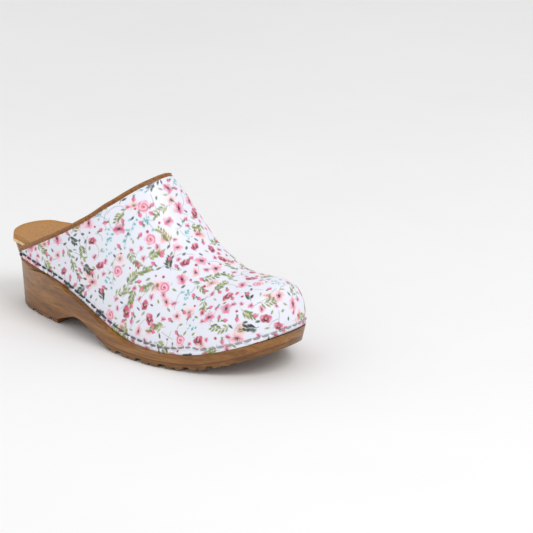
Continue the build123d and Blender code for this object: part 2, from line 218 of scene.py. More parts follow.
def grid_faces(rows, cols, wrap=False, flip=False, start=0):
    """Quads of a grid of points stored row by row."""
    i = np.arange(rows - 1)[:, None]
    j = np.arange(cols if wrap else cols - 1)[None]
    k = (j + 1) % cols
    corners = [i * cols + j, i * cols + k, (i + 1) * cols + k, (i + 1) * cols + j]
    quads = np.stack(corners, -1).reshape(-1, 4)
    return (quads[:, ::-1] if flip else quads) + start


# ---------------------------------------------------------------- materials
def new_material(name):
    material = bpy.data.materials.new(name)
    material.use_nodes = True
    nodes = material.node_tree.nodes
    return material, nodes, material.node_tree.links, nodes["Principled BSDF"]


def noise(nodes, links, vector, scale, detail=3.0, rough=0.5, distort=0.0):
    node = nodes.new("ShaderNodeTexNoise")
    node.inputs["Scale"].default_value = scale
    node.inputs["Detail"].default_value = detail
    node.inputs["Roughness"].default_value = rough
    node.inputs["Distortion"].default_value = distort
    links.new(vector, node.inputs["Vector"])
    return node.outputs["Fac"]


def ramp(nodes, links, fac, stops):
    node = nodes.new("ShaderNodeValToRGB")
    while len(node.color_ramp.elements) < len(stops):
        node.color_ramp.elements.new(0.5)
    for element, (position, colour) in zip(node.color_ramp.elements, stops):
        element.position = position
        element.color = (*colour, 1)
    links.new(fac, node.inputs["Fac"])
    return node.outputs["Color"]


def bump(nodes, links, bsdf, height, strength, distance):
    node = nodes.new("ShaderNodeBump")
    node.inputs["Strength"].default_value = strength
    node.inputs["Distance"].default_value = distance
    links.new(height, node.inputs["Height"])
    links.new(node.outputs["Normal"], bsdf.inputs["Normal"])


def object_coords(nodes, links, scale=(1, 1, 1)):
    coords = nodes.new("ShaderNodeTexCoord")
    mapping = nodes.new("ShaderNodeMapping")
    mapping.inputs["Scale"].default_value = scale
    links.new(coords.outputs["Object"], mapping.inputs["Vector"])
    return mapping.outputs["Vector"]


def srgb(r, g, b):
    """Linear colour from 0..255 display values."""
    c = np.array([r, g, b], float) / 255
    return tuple(np.where(c <= 0.04045, c / 12.92, ((c + 0.055) / 1.055) ** 2.4))


def grained(name, tones, scale, rough, bump_size, detail=4.0, sheen=0.0, coat=0.0):
    """Fine grain running through three tones, dark to light."""
    material, nodes, links, bsdf = new_material(name)
    vector = object_coords(nodes, links)
    fac = noise(nodes, links, vector, scale, detail, 0.6)
    colour = ramp(nodes, links, fac, list(zip((0.25, 0.5, 0.78), tones)))
    links.new(colour, bsdf.inputs["Base Color"])
    bsdf.inputs["Roughness"].default_value = rough
    bsdf.inputs["Sheen Weight"].default_value = sheen
    bsdf.inputs["Coat Weight"].default_value = coat
    bump(nodes, links, bsdf, fac, 0.35, bump_size)
    return material


WOOD_BOTTOM_Z = [
    (66, 3), (70, 4.9), (76, 7.4), (84, 10.4), (92, 12.6), (100, 11.4), (108, 8.9), (116, 6.5),
    (124, 5.0), (137, 4.3), (158, 4.2), (178, 4.3), (190, 4.7), (202, 5.6), (215, 8.0), (227, 11.5),
    (237, 15.0), (246, 18.6), (256, 22.8), (266, 27),
]
CURVE_X = (56.0, 276.0)
CURVE_Z = 30.0


def glue_line(nodes, links, colour):
    """Thin red-brown line where the wood and the forefoot tread meet, mixed over a colour."""
    coords = nodes.new("ShaderNodeTexCoord")
    split = nodes.new("ShaderNodeSeparateXYZ")
    links.new(coords.outputs["Object"], split.inputs[0])
    along = nodes.new("ShaderNodeMapRange")
    along.inputs["From Min"].default_value = (CURVE_X[0] - SHIFT[0]) / 1000
    along.inputs["From Max"].default_value = (CURVE_X[1] - SHIFT[0]) / 1000
    links.new(split.outputs["X"], along.inputs["Value"])
    parting = nodes.new("ShaderNodeFloatCurve")
    curve = parting.mapping.curves[0]
    for x, z in WOOD_BOTTOM_Z:
        u = (x - CURVE_X[0]) / (CURVE_X[1] - CURVE_X[0])
        curve.points.new(u, z / CURVE_Z)
    curve.points[0].location = (0.0, 3 / CURVE_Z)
    curve.points[-1].location = (1.0, 27 / CURVE_Z)
    parting.mapping.update()
    links.new(along.outputs["Result"], parting.inputs["Value"])
    height = nodes.new("ShaderNodeMath")
    height.operation = "MULTIPLY_ADD"
    height.inputs[1].default_value = -CURVE_Z / 1000
    links.new(parting.outputs["Value"], height.inputs[0])
    links.new(split.outputs["Z"], height.inputs[2])
    far = nodes.new("ShaderNodeMath")
    far.operation = "ABSOLUTE"
    links.new(height.outputs[0], far.inputs[0])
    share = nodes.new("ShaderNodeMapRange")
    share.inputs["From Min"].default_value = 0.0002
    share.inputs["From Max"].default_value = 0.0007
    share.inputs["To Min"].default_value = 0.75
    share.inputs["To Max"].default_value = 0.0
    links.new(far.outputs[0], share.inputs["Value"])
    mix = nodes.new("ShaderNodeMix")
    mix.data_type = "RGBA"
    links.new(share.outputs["Result"], mix.inputs[0])
    links.new(colour, mix.inputs[6])
    mix.inputs[7].default_value = (*srgb(96, 40, 24), 1)
    return mix.outputs[2]


def wood_material(name, darker=1.0):
    """Broad figure with fine streaks along the clog."""
    material, nodes, links, bsdf = new_material(name)
    wide = object_coords(nodes, links, (10, 40, 110))
    fine = object_coords(nodes, links, (22, 340, 900))
    figure = noise(nodes, links, wide, 1.0, 4.0, 0.55, 1.2)
    streak = noise(nodes, links, fine, 1.0, 3.0, 0.6, 0.4)
    tones = [(0.3, (112, 70, 22)), (0.5, (142, 94, 38)), (0.7, (164, 114, 54))]
    base = ramp(nodes, links, figure, [
        (place, srgb(*(value * darker for value in tone))) for place, tone in tones
    ])
    streaks = ramp(nodes, links, streak, [(0.3, (0.5, 0.45, 0.38)), (0.62, (1.08, 1.06, 1.0))])
    mix = nodes.new("ShaderNodeMix")
    mix.data_type = "RGBA"
    mix.blend_type = "MULTIPLY"
    mix.inputs[0].default_value = 0.75
    links.new(base, mix.inputs[6])
    links.new(streaks, mix.inputs[7])
    links.new(glue_line(nodes, links, mix.outputs[2]), bsdf.inputs["Base Color"])
    bsdf.inputs["Roughness"].default_value = 0.42
    bsdf.inputs["Coat Weight"].default_value = 0.15
    bump(nodes, links, bsdf, streak, 0.3, 0.0004)
    return material


def painted_material(name, rough, grain, depth, coat=0.0):
    """Colour from the mesh's own painted layer, with a fine leather grain."""
    material, nodes, links, bsdf = new_material(name)
    colour = nodes.new("ShaderNodeAttribute")
    colour.attribute_name = "print"
    links.new(colour.outputs["Color"], bsdf.inputs["Base Color"])
    bsdf.inputs["Roughness"].default_value = rough
    bsdf.inputs["Coat Weight"].default_value = coat
    bsdf.inputs["Coat Roughness"].default_value = 0.3
    vector = object_coords(nodes, links)
    bump(nodes, links, bsdf, noise(nodes, links, vector, grain, 3.0), 0.25, depth)
    return material


wood = wood_material("wood")
tread_wood = wood_material("tread", 0.86)
leather = painted_material("printed leather", 0.42, 900, 0.00012, 0.12)
cord_material = painted_material("cord", 0.75, 2500, 0.0001)
brown_leather = grained(
    "edging leather", (srgb(96, 52, 14), srgb(140, 88, 34), srgb(168, 112, 54)), 420, 0.42, 0.0002, coat=0.1,
)
lining_leather = grained(
    "lining leather", (srgb(92, 56, 22), srgb(122, 80, 38), srgb(140, 96, 52)), 260, 0.7, 0.0002,
)
suede = grained(
    "suede", (srgb(150, 102, 50), srgb(178, 128, 70), srgb(198, 148, 90)), 900, 0.95, 0.0003,
    detail=6.0, sheen=0.1,
)
cream = grained("board", (srgb(214, 182, 132), srgb(234, 204, 158), srgb(244, 220, 180)), 300, 0.7, 0.0001)
foam = grained("foam", (srgb(210, 205, 190), srgb(222, 217, 203), srgb(232, 228, 216)), 300, 0.9, 0.0001)
stiff = grained("stiffener", (srgb(196, 190, 176), srgb(206, 200, 186), srgb(216, 210, 198)), 300, 0.8, 0.0001)
thread = grained("thread", (srgb(120, 74, 30), srgb(160, 108, 56), srgb(186, 134, 80)), 1200, 0.7, 0.0001)
rivet_metal = grained("rivet", (srgb(24, 28, 28), srgb(38, 42, 42), srgb(60, 64, 62)), 900, 0.35, 0.0001)
rivet_metal.node_tree.nodes["Principled BSDF"].inputs["Metallic"].default_value = 0.8


# ---------------------------------------------------------------- rows of the upper
def edge_gap(t, a):
    """Height of a skin point above the lower edge of the upper."""
    p = skin(t, a)
    return p[..., 2] - edge_z(p[..., 0])


def top_gap(t, a):
    """Height of a skin point above the mouth."""
    p = skin(t, a)
    return p[..., 2] - topline_z(p[..., 0])


T_TIP = float(halve(lambda t: -edge_gap(t, pi / 2), 18.0, LAST))
T_REAR = float(halve(lambda t: arch[0](t) - REAR_X, 0.0, 3.0))
T_CREST = float(halve(lambda t: -top_gap(t, pi / 2), 8.0, 11.0))


def row_table(count):
    """t values spaced so that both the crest and the lower edge get even steps."""
    fine = np.linspace(T_REAR, T_TIP, 2400)
    side = halve(lambda a: edge_gap(fine, a), 0.0, pi / 2)
    low = skin(fine, side)
    crest = skin(fine, pi / 2)
    low_step, crest_step = (np.linalg.norm(np.diff(line, axis=0), axis=1) for line in (low, crest))
    step = np.maximum(low_step, crest_step)
    run = np.r_[0, np.cumsum(step)]
    return np.interp(np.linspace(0, run[-1], count), run, fine)


def half_angles(t, heights, spread, inner_side):
    """Angles of one side's columns: fixed heights above the edge, then evenly up to the mouth or crest."""
    flip = (lambda a: pi - a) if inner_side else (lambda a: a)
    top = halve(lambda a: top_gap(t, flip(a)), 0.0, pi / 2)
    top = np.where(t >= T_CREST, pi / 2, top)
    columns = []
    for h in heights:
        a = halve(lambda a: edge_gap(t, flip(a)) - h, 0.0, pi / 2)
        columns.append(np.minimum(a, top))
    start = columns[-1]
    # even steps of arc length between the last fixed height and the top
    ladder = start[:, None] + (top - start)[:, None] * np.linspace(0, 1, 160)[None]
    points = skin(t[:, None], flip(ladder))
    lengths = np.linalg.norm(np.diff(points, axis=1), axis=2)
    run = np.concatenate([np.zeros((len(t), 1)), np.cumsum(lengths, 1)], 1)
    share = np.linspace(0, 1, spread + 1)[1:]
    body = np.stack([np.interp(share * r[-1], r, l) for r, l in zip(run, ladder)])
    return np.concatenate([np.stack(columns, 1), body], 1), flip


def arch_sheet(rows, heights, spread, inset, tip):
    """Both halves of the upper as two grids running from the lower edge to the mouth or the crest."""
    t = np.minimum(row_table(rows), tip)
    points, faces, start = [], [], 0
    for inner_side in (False, True):
        angles, flip = half_angles(t, heights, spread, inner_side)
        grid = skin(t[:, None], flip(angles), inset)
        rear = grid[:1] - skin_normal(t[:1, None], flip(np.clip(angles[:1], 0.02, pi))) * EDGE_TUCK
        grid = np.concatenate([rear, grid])
        cols = grid.shape[1]
        points.append(grid.reshape(-1, 3))
        faces.append(grid_faces(rows + 1, cols, flip=inner_side, start=start))
        start += (rows + 1) * cols
    return np.concatenate(points), np.concatenate(faces)


def line_on_skin(level, feet, angles, t_low, t_high):
    """(t, angle) pairs where the skin meets z = level(x), outer side, round the front, inner side."""
    def gap(t, a):
        p = skin(t, a)
        return p[..., 2] - level(p[..., 0])

    t_side = halve(lambda t: arch[0](t) - np.array(feet), 0, LAST)
    outer = halve(lambda a: gap(t_side, a), 0.01, pi / 2)
    inner = pi - halve(lambda a: gap(t_side, pi - a), 0.01, pi / 2)
    t_front = halve(lambda t: -gap(t, np.array(angles)), t_low, t_high)
    pairs = [*zip(t_side, outer), *zip(t_front, angles), *zip(t_side[::-1], inner[::-1])]
    return np.array(pairs)


def resample(pairs, step, inset=0.0):
    """The same line at even steps."""
    dense = np.linspace(0, len(pairs) - 1, 4000)
    marks = np.arange(len(pairs))
    t, a = smooth(marks, pairs[:, 0])(dense), smooth(marks, pairs[:, 1])(dense)
    run = np.r_[0, np.cumsum(np.linalg.norm(np.diff(skin(t, a, inset), axis=0), axis=1))]
    even = np.linspace(0, run[-1], int(run[-1] / step) + 1)
    return np.interp(even, run, t), np.interp(even, run, a)


def edge_relief(h):
    """Outward relief by height above the edge: rounded edge, swelling below the cord, groove under it."""
    groove = -0.5 * np.exp(-((h - STITCH_UP) / 0.8) ** 2)
    flange = 0.22 * np.exp(-((h - 1.5) / 1.3) ** 2) - 0.7 * np.exp(-(h / 0.3) ** 2)
    return np.where(h > BAND_TOP, -0.05, groove + flange)


def edge_band(heights, step):
    """Strip along the lower edge: stations round the clog by heights above the edge."""
    pairs = line_on_skin(
        lambda x: edge_z(x) + STITCH_UP,
        [REAR_X, 23, 27, 35, 45, 57, 70, 85, 100, 115, 130, 145, 158, 168, 176],
        [pi * k / 24 for k in (2.2, 3, 4, 5.5, 7, 8.5, 10, 12, 14, 15.5, 17, 18.5, 20, 21, 21.8)],
        12.5, LAST - 1.5,
    )
    t0, a0 = resample(pairs, step)
    home = skin(t0, a0)
    along = np.gradient(home, axis=0)
    along[:, 2] = 0
    for _ in range(6):
        along[1:-1] = (along[:-2] + 2 * along[1:-1] + along[2:]) / 4
    along /= np.linalg.norm(along, axis=1, keepdims=True)
    ceiling = topline_z(home[:, 0]) - edge_z(home[:, 0])
    columns = []
    for h in heights:
        height = np.minimum(h, ceiling)
        t, a = t0.copy(), a0.copy()

        def miss(t, a):
            p = skin(t, a)
            return np.stack([p[:, 2] - edge_z(p[:, 0]) - height, np.sum((p - home) * along, axis=1)], 1)

        # Newton steps towards that height, in the upright plane square to the edge
        for _ in range(12):
            f = miss(t, a)
            ft = (miss(t + 1e-4, a) - f) / 1e-4
            fa = (miss(t, a + 1e-4) - f) / 1e-4
            det = ft[:, 0] * fa[:, 1] - ft[:, 1] * fa[:, 0]
            det = np.where(np.abs(det) < 1e-6, 1e-6, det)
            dt = (f[:, 0] * fa[:, 1] - f[:, 1] * fa[:, 0]) / det
            da = (ft[:, 0] * f[:, 1] - ft[:, 1] * f[:, 0]) / det
            t = np.clip(t - np.clip(dt, -0.4, 0.4), 0.2, LAST)
            a = np.clip(a - np.clip(da, -0.1, 0.1), 0.003, pi - 0.003)
        columns.append(skin(t, a) + skin_normal(t, a) * edge_relief(np.asarray(h)))
        if len(columns) == 1:
            out = skin_normal(t, a)
    grid = np.stack(columns, 1)
    tucks = np.stack([grid[:, 0] - out * d for d in (2.2, 1.2, 0.4)], 1)
    grid = np.concatenate([tucks, grid], 1)
    grid = np.concatenate([grid[:1] - out[0] * EDGE_TUCK, grid, grid[-1:] - out[-1] * EDGE_TUCK])
    return grid.reshape(-1, 3), grid_faces(len(grid), grid.shape[1])


# ---------------------------------------------------------------- floral print
class Painter:
    """Paints small watercolour motifs straight on to the vertices of a curved sheet."""

    def __init__(self, points, normals):
        self.points, self.normals = points, normals
        self.colour = np.tile(np.array(srgb(229, 231, 242)), (len(points), 1))
        grain = np.sin(points[:, 0] * 0.9) * np.sin(points[:, 1] * 1.1 + points[:, 2] * 0.8)
        self.colour *= (1 + 0.006 * grain)[:, None]
        self.tree = KDTree(len(points))
        for i, p in enumerate(points):
            self.tree.insert(p, i)
        self.tree.balance()

    def frame_at(self, place):
        """Normal and two axes in the sheet at the nearest vertex."""
        n = self.normals[self.tree.find(place)[1]]
        side = np.cross(n, [0.3, 0.1, 1.0])
        side /= np.linalg.norm(side) + 1e-9
        return n, side, np.cross(n, side)

    def local(self, centre, radius, turn):
        """Vertices round a place, with their coordinates in the sheet turned by an angle."""
        hits = self.tree.find_range(centre, radius)
        index = np.array([h[1] for h in hits], int)
        n, side, up = self.frame_at(centre)
        d = self.points[index] - centre
        x, y = d @ side, d @ up
        keep = self.normals[index] @ n > 0.2
        index, x, y = index[keep], x[keep], y[keep]
        c, s = cos(turn), sin(turn)
        return index, x * c + y * s, -x * s + y * c

    def lay(self, index, colour, alpha):
        alpha = np.clip(alpha, 0, 1)[:, None]
        self.colour[index] = self.colour[index] * (1 - alpha) + np.asarray(colour) * alpha

    def soft(self, value, width=0.35):
        return np.clip(value / width + 0.5, 0, 1)

    def blossom(self, centre, radius, petals, deep, pale, heart, turn):
        index, x, y = self.local(centre, radius * 1.25, turn)
        r, phi = np.hypot(x, y), np.arctan2(y, x)
        wave = rng.uniform(0.55, 0.72)
        lobes = wave + (1 - wave) * np.abs(np.cos(petals * phi / 2)) ** 0.7
        lobes *= 1 + 0.10 * np.sin(phi * 3 + turn * 7) + 0.05 * np.sin(phi * 11 + turn)
        outline = radius * lobes
        wash = np.clip(r / np.maximum(outline, 0.1), 0, 1)
        vein = 0.5 + 0.5 * np.cos(petals * 3 * phi + 5 * wash)
        tone = np.clip(wash * 1.1 - 0.12 + 0.22 * vein * wash + 0.25 * np.sin(phi * 2 + turn * 3), 0, 1)
        colour = np.outer(1 - tone, deep) + np.outer(tone, pale)
        strength = self.soft(outline - r, 0.9) * (0.72 + 0.28 * np.sin(phi * 2 + turn * 5))
        self.lay(index, colour, strength)
        seam = np.exp(-(np.cos(petals * phi / 2) / 0.14) ** 2) * (r > radius * 0.15)
        self.lay(index, np.array(deep) * 0.85, seam * self.soft(outline - r, 0.8) * 0.45)
        self.lay(index, heart, self.soft(radius * 0.2 - r, 0.35))
        ring = np.exp(-((r - radius * 0.33) / (radius * 0.07)) ** 2) * (np.sin(phi * 9 + turn) > 0.1)
        self.lay(index, heart, ring * 0.8)

    def poppy(self, centre, radius, turn):
        deep, pale = np.array(srgb(150, 14, 60)), np.array(srgb(226, 84, 132))
        index, x, y = self.local(centre, radius * 1.25, turn)
        r, phi = np.hypot(x, y * 1.12), np.arctan2(y, x)
        outline = radius * (0.82 + 0.13 * np.cos(2 * phi + 0.6) + 0.07 * np.sin(5 * phi + turn * 4))
        tone = np.clip(0.5 + 0.55 * np.sin(phi * 3 + r * 1.3 + turn) * (r / radius), 0, 1)
        colour = np.outer(1 - tone, deep) + np.outer(tone, pale)
        self.lay(index, colour, self.soft(outline - r, 0.7) * 0.93)
        flash = np.sin(phi * 2 - 1 + turn) > 0.75
        self.lay(index, srgb(244, 176, 200), self.soft(outline - r, 0.7) * flash * 0.6)
        arc = np.exp(-((r - radius * 0.34) / 0.5) ** 2) * (np.sin(phi + turn) > -0.45)
        self.lay(index, srgb(26, 18, 26), arc * 1.1)
        self.lay(index, srgb(214, 178, 84), self.soft(radius * 0.16 - r, 0.4))
        dots = np.exp(-((np.hypot(x - 0.7, y + 0.3)) / 0.45) ** 2)
        self.lay(index, srgb(70, 140, 140), dots * 0.9)

    def rose(self, centre, radius, turn):
        deep, pale = np.array(srgb(214, 70, 118)), np.array(srgb(248, 198, 212))
        index, x, y = self.local(centre, radius * 1.15, turn)
        r, phi = np.hypot(x, y), np.arctan2(y, x)
        outline = radius * (0.88 + 0.08 * np.sin(5 * phi))
        swirl = 0.5 + 0.5 * np.sin(phi + r * 2.6 + 0.6 * np.sin(3 * phi))
        tone = np.clip(swirl * 0.9 + 0.15, 0, 1)
        colour = np.outer(1 - tone, deep) + np.outer(tone, pale)
        self.lay(index, colour, self.soft(outline - r, 0.9) * 0.92)
        self.lay(index, srgb(176, 36, 84), self.soft(radius * 0.14 - r, 0.4))

    def leaf(self, centre, length, width, turn, colour):
        index, x, y = self.local(centre, length * 0.62, turn)
        if not len(index):
            return
        u = np.clip(x / (length / 2), -1, 1)
        half = width / 2 * (1 - np.abs(u) ** 1.7) * (1 - 0.25 * u)
        shade = np.clip(0.5 + 0.5 * y / max(width / 2, 0.1), 0, 1)
        dark, light = np.array(colour) * 0.62, np.minimum(np.array(colour) * 1.45 + 0.02, 1)
        tint = np.outer(1 - shade, dark) + np.outer(shade, light)
        self.lay(index, tint, self.soft(half - np.abs(y), 0.42) * (np.abs(x) < length / 2) * 0.95)

    def stroke(self, points, width, colour, strength):
        for p, q in zip(points, points[1:]):
            mid = (p + q) / 2
            span = np.linalg.norm(q - p)
            hits = self.tree.find_range(mid, span / 2 + width * 2)
            index = np.array([h[1] for h in hits], int)
            if not len(index):
                continue
            d = self.points[index] - p
            along = np.clip(d @ (q - p) / max(span ** 2, 1e-6), 0, 1)
            away = np.linalg.norm(d - along[:, None] * (q - p), axis=1)
            self.lay(index, colour, self.soft(width / 2 - away, 0.3) * strength)

    def walk(self, start, heading, length, bend, steps=9):
        """Points of a curved line on the sheet, with the direction in the local axes."""
        path, turns = [np.array(start)], [heading]
        for k in range(steps):
            _, side, up = self.frame_at(path[-1])
            angle = heading + bend * (k + 0.5) / steps
            step = path[-1] + (side * cos(angle) + up * sin(angle)) * length / steps
            path.append(self.points[self.tree.find(step)[1]].copy())
            turns.append(angle)
        return path, turns

    def sprig(self, middle, heading, length, dark):
        olive = [srgb(126, 138, 62), srgb(154, 160, 84), srgb(104, 120, 58)]
        deep = [srgb(34, 52, 42), srgb(50, 72, 48), srgb(26, 34, 32)]
        palette = deep if dark else olive
        bend = rng.uniform(-0.9, 0.9)
        _, side, up = self.frame_at(middle)
        start = middle - (side * cos(heading) + up * sin(heading)) * length / 2
        path, turns = self.walk(self.points[self.tree.find(start)[1]], heading, length, bend, 6)
        self.stroke(path, 0.5, palette[2], 0.6)
        for k in range(1, len(path)):
            for sign in (-1, 1):
                if rng.random() < 0.16:
                    continue
                lean = turns[k] + sign * rng.uniform(0.55, 0.85)
                size = rng.uniform(3.4, 5.2) * (1.1 - 0.4 * k / len(path))
                _, side, up = self.frame_at(path[k])
                leaf_at = path[k] + (side * cos(lean) + up * sin(lean)) * size * 0.62
                self.leaf(leaf_at, size, rng.uniform(1.3, 1.9), lean, palette[rng.integers(3)])
        if rng.random() < 0.35:
            self.bud(path[-1], turns[-1])

    def cluster(self, centre):
        for _ in range(rng.integers(7, 12)):
            offset = rng.normal(0, 2.6, 3)
            spot = self.points[self.tree.find(centre + offset)[1]]
            index, x, y = self.local(spot, 1.9, rng.uniform(0, 6))
            r, phi = np.hypot(x, y), np.arctan2(y, x)
            outline = 1.15 * (0.7 + 0.3 * np.cos(4 * phi))
            tint = [srgb(112, 190, 194), srgb(150, 212, 212), srgb(82, 164, 172)][rng.integers(3)]
            self.lay(index, tint, self.soft(outline - r, 0.5) * 0.9)
            self.lay(index, srgb(40, 110, 120), self.soft(0.25 - r, 0.25) * 0.8)

    def berry(self, centre, radius):
        index, x, y = self.local(centre, radius * 2, 0)
        r = np.hypot(x, y)
        self.lay(index, srgb(186, 26, 66), self.soft(radius - r, 0.35))
        self.lay(index, srgb(236, 150, 170), np.exp(-((np.hypot(x - 0.3, y - 0.3)) / 0.3) ** 2) * 0.6)

    def bud(self, centre, turn):
        self.leaf(centre, 4.4, 3.0, turn, srgb(224, 104, 144))
        _, side, up = self.frame_at(centre)
        axis = side * cos(turn) + up * sin(turn)
        for lean in (-0.45, 0.45):
            self.leaf(centre - axis * 2.3, 3.4, 1.1, turn + lean, srgb(104, 118, 60))


def scatter(points, spacing, seed, keep_off=(), distance=0.0):
    """Vertices at least spacing apart, in random order, and off other places."""
    order = np.random.default_rng(seed).permutation(len(points))
    cells = {}
    for q in keep_off:
        cells.setdefault(tuple((q // spacing).astype(int)), []).append((q, distance))
    chosen = []
    for i in order[:60000]:
        p = points[i]
        home = (p // spacing).astype(int)
        near = any(
            np.sum((q - p) ** 2) < reach ** 2
            for dx in (-1, 0, 1) for dy in (-1, 0, 1) for dz in (-1, 0, 1)
            for q, reach in cells.get((home[0] + dx, home[1] + dy, home[2] + dz), ())
        )
        if not near:
            cells.setdefault(tuple(home), []).append((p, spacing))
            chosen.append(p)
    return chosen


def paint_flowers(points, normals):
    """Generic scattered print: pale washes and stems, then flowers and sprigs, then small fillers."""
    painter = Painter(points, normals)
    wash, wash_light = np.array(srgb(232, 166, 176)), np.array(srgb(246, 222, 226))
    for p in scatter(points, 26, 1):
        painter.blossom(p, rng.uniform(4.5, 6.5), 5, wash, wash_light, srgb(150, 120, 60), rng.uniform(0, 6))
    for p in scatter(points, 12, 2):
        path, _ = painter.walk(p, rng.uniform(0, 2 * pi), rng.uniform(8, 16), rng.uniform(-2, 2))
        painter.stroke(path, 0.5, srgb(120, 126, 128), 0.45)
    pinks = [
        (srgb(204, 40, 100), srgb(244, 160, 186)), (srgb(222, 84, 130), srgb(248, 190, 204)),
        (srgb(190, 44, 96), srgb(234, 132, 164)), (srgb(226, 112, 136), srgb(248, 208, 212)),
    ]
    spots = scatter(points, 10.6, 3)
    for p in spots:
        kind, turn = rng.random(), rng.uniform(0, 2 * pi)
        if kind < 0.24:
            deep, light = pinks[rng.integers(4)]
            size = rng.uniform(3.8, 5.2)
            painter.blossom(p, size, 5, np.array(deep), np.array(light), srgb(48, 14, 26), turn)
        elif kind < 0.36:
            painter.poppy(p, rng.uniform(3.6, 5.0), turn)
        elif kind < 0.44:
            painter.rose(p, rng.uniform(3.8, 5.0), turn)
        elif kind < 0.74:
            painter.sprig(p, turn, rng.uniform(10, 15), False)
        elif kind < 0.88:
            painter.sprig(p, turn, rng.uniform(8, 12), True)
        else:
            painter.cluster(p)
    for p in scatter(points, 5.4, 4, spots, 5.6):
        kind, turn = rng.random(), rng.uniform(0, 2 * pi)
        if kind < 0.2:
            painter.bud(p, turn)
        elif kind < 0.4:
            painter.blossom(p, rng.uniform(1.7, 2.5), 5, np.array(srgb(188, 28, 78)),
                            np.array(srgb(238, 140, 168)), srgb(40, 12, 24), turn)
        elif kind < 0.52:
            painter.berry(p, rng.uniform(0.7, 1.1))
        elif kind < 0.9:
            greens = [srgb(128, 138, 64), srgb(40, 58, 44), srgb(154, 160, 88), srgb(62, 88, 60)]
            tone = greens[rng.integers(4)]
            painter.leaf(p, rng.uniform(3, 4.8), rng.uniform(1.2, 1.8), turn, tone)
    return painter.colour


def sheet_normals(points, faces):
    """Unit normals of the vertices of a quad sheet."""
    a, b, c = points[faces[:, 0]], points[faces[:, 1]], points[faces[:, 2]]
    n = np.cross(b - a, c - a)
    total = np.zeros_like(points)
    for k in range(4):
        np.add.at(total, faces[:, k], n)
    length = np.linalg.norm(total, axis=1, keepdims=True)
    return total / np.maximum(length, 1e-9)


def outward(points, faces):
    """Faces and normals turned to look away from the middle."""
    normals = sheet_normals(points, faces)
    if np.sum(normals * (points - points.mean(0))) < 0:
        return faces[:, ::-1], -normals
    return faces, normals


HEIGHTS = [0, 0.15, 0.4, 0.8, 1.3, 1.8, 2.3, 2.7, 3.0, 3.3, 3.6, 3.9, 4.2, 4.6, 5.1, 5.8, 6.6, 7.3]
arch_tip = float(halve(lambda t: MAIN_LOW - edge_gap(t, pi / 2), 18.0, LAST))
main_points, main_faces = arch_sheet(500, [MAIN_LOW], 205, 0.0, arch_tip)
band_points, band_faces = edge_band(HEIGHTS, 0.5)
main_faces, main_out = outward(main_points, main_faces)
band_faces, band_out = outward(band_points, band_faces)
skin_points = np.concatenate([main_points, band_points])
skin_faces = np.concatenate([main_faces, band_faces + len(main_points)])
flowers = paint_flowers(skin_points, np.concatenate([main_out, band_out]))
upper = make_object("printed_upper", skin_points, skin_faces, leather, colour=flowers)
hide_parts("upper")

lining_points, lining_faces = arch_sheet(150, [0.0, 3.0, 6.0], 40, LEATHER_T, LAST)
lining = make_object("inner_lining", lining_points, lining_faces[:, ::-1], lining_leather)
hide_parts("lining")


# ---------------------------------------------------------------- rolled edging of the mouth
mouth = line_on_skin(
    topline_z, [20.9, 23, 26, 31, 38, 46, 56, 68, 80, 91, 100],
    [pi * k / 24 for k in range(6, 19)], 5.5, 10.6,
)
bt, ba = resample(mouth, 1.2, LEATHER_T / 2)
out = skin_normal(bt, ba)
spine = skin(bt, ba) - out * (LEATHER_T / 2)
tangent = np.gradient(spine, axis=0)
tangent /= np.linalg.norm(tangent, axis=1, keepdims=True)
out = out - tangent * np.sum(out * tangent, axis=1, keepdims=True)
out /= np.linalg.norm(out, axis=1, keepdims=True)
side = np.cross(tangent, out)
ring = np.linspace(0, 2 * pi, TUBE_SIDES, endpoint=False)
radius = BINDING_R * (1.0 - 0.2 * np.exp(-(((ring + pi) % (2 * pi) - pi - 0.15) / 0.22) ** 2))
taper = np.ones(len(spine))
taper[:3] = taper[-3:][::-1] = [0.35, 0.75, 0.95]
tube = (
    spine[:, None] + out[:, None] * (np.cos(ring) * radius)[None, :, None] * taper[:, None, None]
    + side[:, None] * (np.sin(ring) * radius * 1.12)[None, :, None] * taper[:, None, None]
)
first_ring = list(range(TUBE_SIDES))
caps = [first_ring[::-1], [(len(spine) - 1) * TUBE_SIDES + k for k in first_ring]]
faces = [list(f) for f in grid_faces(len(spine), TUBE_SIDES, wrap=True)] + caps
edging = make_object("rolled_edging", tube.reshape(-1, 3), faces, brown_leather)
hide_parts("topline_binding")


# ---------------------------------------------------------------- stitches
def stitch_mesh(starts, ends, outs, radius, twists, colours):
    """Short twisted cords whose ends dive into the leather, with a colour for each point: the given colour,
    with painted shade in the grooves between the plies and a little painted highlight on their crests.
    """
    points, faces, painted_shade_colours = [], [], []
    rings, seg = 15, 12
    for p, q, n, shade in zip(starts, ends, outs, colours):
        axis = q - p
        length = np.linalg.norm(axis)
        axis /= length
        n = n - axis * (n @ axis)
        n /= np.linalg.norm(n)
        b = np.cross(axis, n)
        u = np.linspace(0, 1, rings)
        sink = -0.75 * (2 * np.abs(u - 0.5)) ** 5
        swell = np.clip(np.sin(pi * np.clip(u, 0.03, 0.97)) ** 0.35, 0, 1)
        phi = np.linspace(0, 2 * pi, seg, endpoint=False)
        lay = 1 + 0.16 * np.cos(2 * (phi[None] - u[:, None] * twists * pi))
        r = radius * swell[:, None] * lay
        ring_points = (
            (p + axis * length * u[:, None] + n * sink[:, None])[:, None]
            + n * (np.cos(phi)[None] * r)[..., None] + b * (np.sin(phi)[None] * r)[..., None]
        )
        start = len(points) * rings * seg
        points.append(ring_points.reshape(-1, 3))
        faces.append(grid_faces(rings, seg, wrap=True, start=start))
        # painted shade and highlight: darker where the twist dips between the plies, a little lighter on the
        # ply crests
        tone = shade * (0.72 + 0.32 * (lay - 0.84) / 0.32)[..., None]
        painted_shade_colours.append(np.broadcast_to(tone, (rings, seg, 3)).reshape(-1, 3))
    return np.concatenate(points), np.concatenate(faces), np.concatenate(painted_shade_colours)


